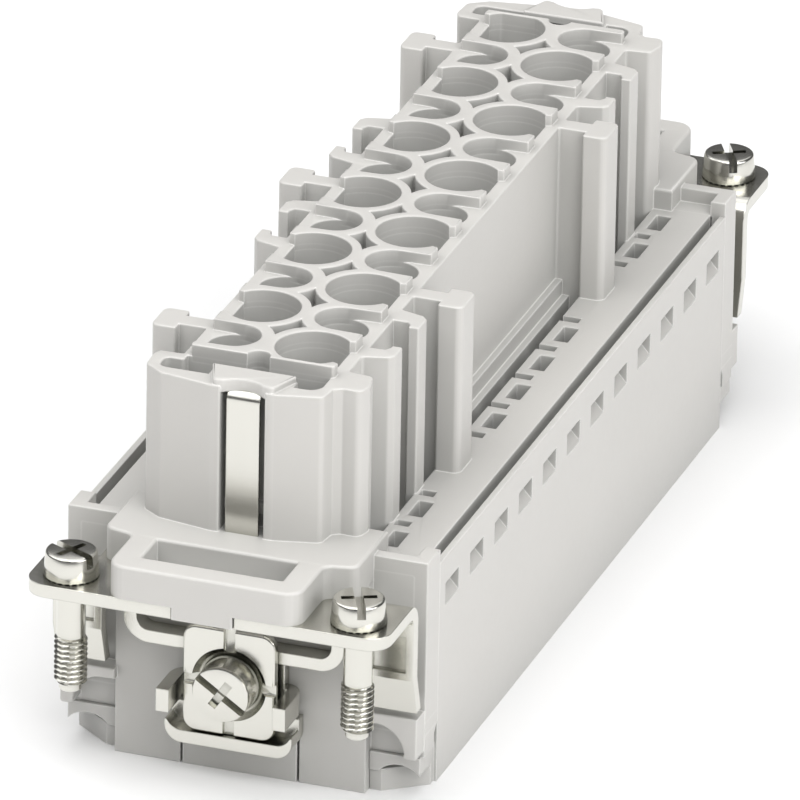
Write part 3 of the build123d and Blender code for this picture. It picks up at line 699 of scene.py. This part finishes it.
def clamp_washer():
    """Washer along +Z with its top at +Y, with a dish and four grooves that hold the wire."""
    corners = [(-4.4, -5.1, 1.3), (4.3, -5.1, 1.3), (4.3, 5.4, 1.3), (-4.4, 5.4, 1.3)]
    body = plate(rounded(corners, 8), 0, washer_sheet, 0.3)
    above, groove_floor = 2, 0.6
    dish = turned([(0, 0.55), (2.95, 0.55), (3.1, 0.62), (3.45, 1.0), (3.6, 1.2),
                   (3.6, above), (0, above)], 72)
    across, along = (-0.55, 0.55), (-6, 6)
    grooves = [bar(*across, *along, groove_floor, above, 0.1), bar(*along, *across, groove_floor, above, 0.1)]
    return [carved(body, [dish, *grooves])]


def clamp_screw():
    """Clamp screw along +Z, with its seat at zero."""
    top = 2.8
    head = turned([(0, 0), (2.55, 0), (2.7, 0.15), (2.7, 2.55), (2.6, 2.74), (2.45, top), (0, top)], 64)
    shank = turned([(0, -6), (1.4, -6), (1.65, -5.7), (1.65, 0), (0, 0)])
    return [with_slots(head, widths=(0.72, 0.8), depth=0.9, top=top, halves=(3.2, 1.45)), shank]


clamp_walls = clamp_screw()
washer_walls = clamp_washer()
for end, name in ((-1, "near"), (1, "far")):
    face_out = Matrix.Rotation(radians(90 if end < 0 else -90), 4, "X")
    upright = Matrix.Rotation(radians(0 if end < 0 else 180), 4, "Z")
    on_strap = Matrix.Translation((0, strap_y * end * mm, clamp_z * mm)) @ face_out @ upright
    metal_pieces.append(piece(f"grooved_washer_{name}", spun(washer_walls, on_strap), f"clamp_washer_{name}",
                              [f"clamp_washer_{name}"]))
    on_dish = on_strap @ Matrix.Translation((0, 0, (washer_sheet - dish_depth) * mm))
    on_washer = on_dish @ Matrix.Rotation(radians(clamp_turn), 4, "Z")
    metal_pieces.append(piece(f"clamp_head_{name}", spun(clamp_walls, on_washer), f"clamp_screw_{name}",
                              [f"clamp_screw_{name}"]))

# %% [markdown]
# Shader maths reads best as arithmetic. This small class wraps a node's output, so that adding or
# multiplying two of them adds the Math node for it.

# %% Shader sums
class Value:
    """A number that varies over a surface."""

    def __init__(self, tree, socket):
        self.tree = tree
        self.socket = socket

    def combine(self, operation, left, right):
        node = self.tree.nodes.new("ShaderNodeMath")
        node.operation = operation
        for place, item in zip(node.inputs, (left, right)):
            if isinstance(item, Value):
                self.tree.links.new(item.socket, place)
            else:
                place.default_value = item
        return Value(self.tree, node.outputs[0])

    def clamped(self, gain):
        made = self.combine("MULTIPLY", self, gain)
        made.socket.node.use_clamp = True
        return made

    def __add__(self, other):
        return self.combine("ADD", self, other)

    def __radd__(self, other):
        return self.combine("ADD", other, self)

    def __sub__(self, other):
        return self.combine("SUBTRACT", self, other)

    def __rsub__(self, other):
        return self.combine("SUBTRACT", other, self)

    def __mul__(self, other):
        return self.combine("MULTIPLY", self, other)

    def __rmul__(self, other):
        return self.combine("MULTIPLY", other, self)


class Finish:
    """A material under construction."""

    def __init__(self, name):
        self.material = bpy.data.materials.new(name)
        self.material.use_nodes = True
        self.tree = self.material.node_tree
        self.surface = self.tree.nodes["Principled BSDF"]
        coordinates = self.tree.nodes.new("ShaderNodeTexCoord")
        self.place = coordinates.outputs["Object"]

    def node(self, kind, settings=None, inputs=None):
        """Any node, with its settings first and then the values or links of its sockets."""
        made = self.tree.nodes.new(kind)
        for key, value in (settings or {}).items():
            setattr(made, key, value)
        for key, value in (inputs or {}).items():
            if isinstance(value, Value):
                value = value.socket
            if isinstance(value, bpy.types.NodeSocket):
                self.tree.links.new(value, made.inputs[key])
            else:
                made.inputs[key].default_value = value
        return made

    def noise(self, scale, detail=3.0, stretch=(1, 1, 1)):
        spread = self.node("ShaderNodeMapping", None, {"Vector": self.place, "Scale": stretch})
        made = self.node("ShaderNodeTexNoise", None,
                         {"Vector": spread.outputs[0], "Scale": scale, "Detail": detail})
        return Value(self.tree, made.outputs[0])

    def mix(self, factor, one, other):
        made = self.node("ShaderNodeMix", {"data_type": "RGBA"}, {0: factor})
        for key, colour in ((6, one), (7, other)):
            if isinstance(colour, bpy.types.NodeSocket):
                self.tree.links.new(colour, made.inputs[key])
            else:
                made.inputs[key].default_value = (*colour, 1)
        return made.outputs[2]

    def edges(self, radius):
        """Mask that is 0 on flats and near 1 on outer and inner edges, from a rounded normal."""
        shape = self.node("ShaderNodeNewGeometry")
        rounded_normal = self.node("ShaderNodeBevel", {"samples": 6}, {"Radius": radius})
        same = self.node("ShaderNodeVectorMath", {"operation": "DOT_PRODUCT"},
                         {0: rounded_normal.outputs[0], 1: shape.outputs["True Normal"]})
        turned_away = 1 - Value(self.tree, same.outputs["Value"])
        return turned_away.clamped(4.0)

    def openness(self, distance):
        """Mask that is 1 on open faces and falls towards 0 in nooks, within a distance."""
        made = self.node("ShaderNodeAmbientOcclusion", {"samples": 6}, {"Distance": distance})
        return Value(self.tree, made.outputs["AO"])

    def set(self, **sockets):
        for key, value in sockets.items():
            place = self.surface.inputs[key.replace("_", " ")]
            if isinstance(value, Value):
                value = value.socket
            if isinstance(value, bpy.types.NodeSocket):
                self.tree.links.new(value, place)
            else:
                place.default_value = value

    def relief(self, height, strength, distance, softened=0.0):
        """Bump from a height, over edges that a small radius softens."""
        inputs = {"Height": height, "Strength": strength, "Distance": distance}
        if softened:
            inputs["Normal"] = self.node("ShaderNodeBevel", {"samples": 6}, {"Radius": softened}).outputs[0]
        self.set(Normal=self.node("ShaderNodeBump", None, inputs).outputs[0])


# %% [markdown]
# The moulding looks like a glass-filled plastic from a spark-eroded tool: a light warm grey, satin, with
# the faintest grain. The finish has no flat colour: two near tones drift into each other, shade is painted
# darker into the nooks, and a highlight is painted lighter along the edges.

# %% Plastic
warm_grey, light_grey = (0.52, 0.508, 0.485), (0.55, 0.537, 0.513)
painted_shade_grey, painted_highlight_grey = (0.41, 0.41, 0.395), (0.88, 0.87, 0.85)
edge_reach, painted_shade_reach = 0.00022, 0.009


def moulded(name, softened=0.0):
    plastic = Finish(name)
    drift = plastic.noise(90, 2.0)
    edge = plastic.edges(edge_reach)
    body = plastic.mix(drift, warm_grey, light_grey)
    # Painted shade: an occlusion mask darkens the colour in nooks and under overhangs, such as below the
    # flange.
    painted_shade_mix = plastic.mix(plastic.openness(painted_shade_reach), painted_shade_grey, body)
    # Painted highlight: the edge mask lightens the colour along rounded edges, where light would catch them.
    plastic.set(Base_Color=plastic.mix(0.8 * edge, painted_shade_mix, painted_highlight_grey))
    grain = plastic.noise(9000, 2.0)
    plastic.set(Roughness=0.36 + 0.10 * plastic.noise(1500) - 0.12 * edge)
    plastic.surface.inputs["IOR"].default_value = 1.52
    plastic.relief(grain, 0.12, 0.00003, softened)
    return plastic.material


plastic_finish = moulded("moulded plastic")
plastic_soft = moulded("moulded plastic with softened edges", 0.0002)


# %% [markdown]
# Nickel plate over steel is bright but not a mirror. The streaks follow the rolling of the sheet, and
# roughness with a faint bump carries them. The colour only clouds a little; shade is painted into nooks.

# %% Nickel plate
nickel_tone, silver_tone, painted_shade_tone = (0.70, 0.69, 0.64), (0.86, 0.84, 0.80), (0.30, 0.30, 0.26)


def plated(name, tone, softened, rough):
    plate_finish = Finish(name)
    streak = plate_finish.noise(700, 2.0, (1, 14, 14))
    cloud = plate_finish.noise(160)
    sheen = plate_finish.mix(cloud, tone, tuple(0.93 * part for part in tone))
    # Painted shade: an occlusion mask darkens the metal in nooks such as screw slots and washer grooves.
    painted_shade_mix = plate_finish.mix(plate_finish.openness(0.0010), painted_shade_tone, sheen)
    plate_finish.set(Base_Color=painted_shade_mix, Metallic=1.0)
    plate_finish.set(Roughness=rough + 0.10 * streak)
    plate_finish.relief(streak, 0.06, 0.00002, softened)
    return plate_finish.material


nickel = plated("nickel plate", nickel_tone, 0.0, 0.15)
nickel_soft = plated("nickel plate with softened edges", nickel_tone, 0.00016, 0.17)
silver = plated("silvered contact", silver_tone, 0.00008, 0.3)
print("finishes:", [finish.name for finish in (plastic_finish, plastic_soft, nickel, nickel_soft, silver)])


def dress(thing, material):
    thing.data.materials.clear()
    thing.data.materials.append(material)


dress(carrier, plastic_finish)
for thing in metal_pieces:
    dress(thing, nickel)
dress(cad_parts["terminal_housing"], plastic_soft)
for name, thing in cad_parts.items():
    if name.startswith("socket_contact"):
        dress(thing, silver)
    elif name.startswith("ground_"):
        dress(thing, nickel_soft)

# %% [markdown]
# A catalogue picture has the object on white. Broad soft lights stand all round, the strongest on the
# right, and the dim room gives only a little. The flange then shades the clamp below it, and each lamp
# is a bright card for the metal to reflect, with darker room between them.

# %% Floor and light
floor_reach, floor_sheet = 3000, 2
floor_edge = [(-floor_reach, -floor_reach), (floor_reach, -floor_reach),
              (floor_reach, floor_reach), (-floor_reach, floor_reach)]
floor_mesh = plate(floor_edge, base_z - floor_sheet, base_z, 0)
floor = bpy.data.objects.new("floor", floor_mesh)
scene.collection.objects.link(floor)
paper = Finish("white paper")
paper.set(Base_Color=(0.84, 0.84, 0.84, 1), Roughness=0.9)
dress(floor, paper.material)

room = bpy.data.worlds.new("room")
scene.world = room
room.use_nodes = True
sky = room.node_tree.nodes["Background"]
sky.inputs["Color"].default_value = (1, 1, 1, 1)
sky.inputs["Strength"].default_value = 0.12


def soft_light(name, round_the_object, height, distance, size, power):
    """Rectangular lamp aimed at the object from two angles in degrees and a distance in metres."""
    lamp = bpy.data.lights.new(name, "AREA")
    lamp.shape = "RECTANGLE"
    lamp.size, lamp.size_y = size
    lamp.energy = power
    thing = bpy.data.objects.new(name, lamp)
    turn, rise = radians(round_the_object), radians(height)
    thing.location = Vector((cos(rise) * cos(turn), cos(rise) * sin(turn), sin(rise))) * distance
    thing.rotation_euler = (-thing.location).to_track_quat("-Z", "Y").to_euler()
    scene.collection.objects.link(thing)


soft_light("key", -45, 50, 0.9, (0.8, 0.6), 5.1)
soft_light("low", -20, 20, 1.0, (1.0, 0.4), 4.3)
soft_light("left", -150, 50, 0.9, (1.5, 0.6), 4.7)
soft_light("steep", -110, 70, 0.9, (0.7, 0.6), 2.5)
soft_light("back", 105, 55, 0.9, (0.9, 0.7), 1.6)
soft_light("top", 90, 80, 0.9, (0.8, 0.8), 1.4)
scene.view_settings.view_transform = "Standard"
print("lamps:", len(bpy.data.lights))
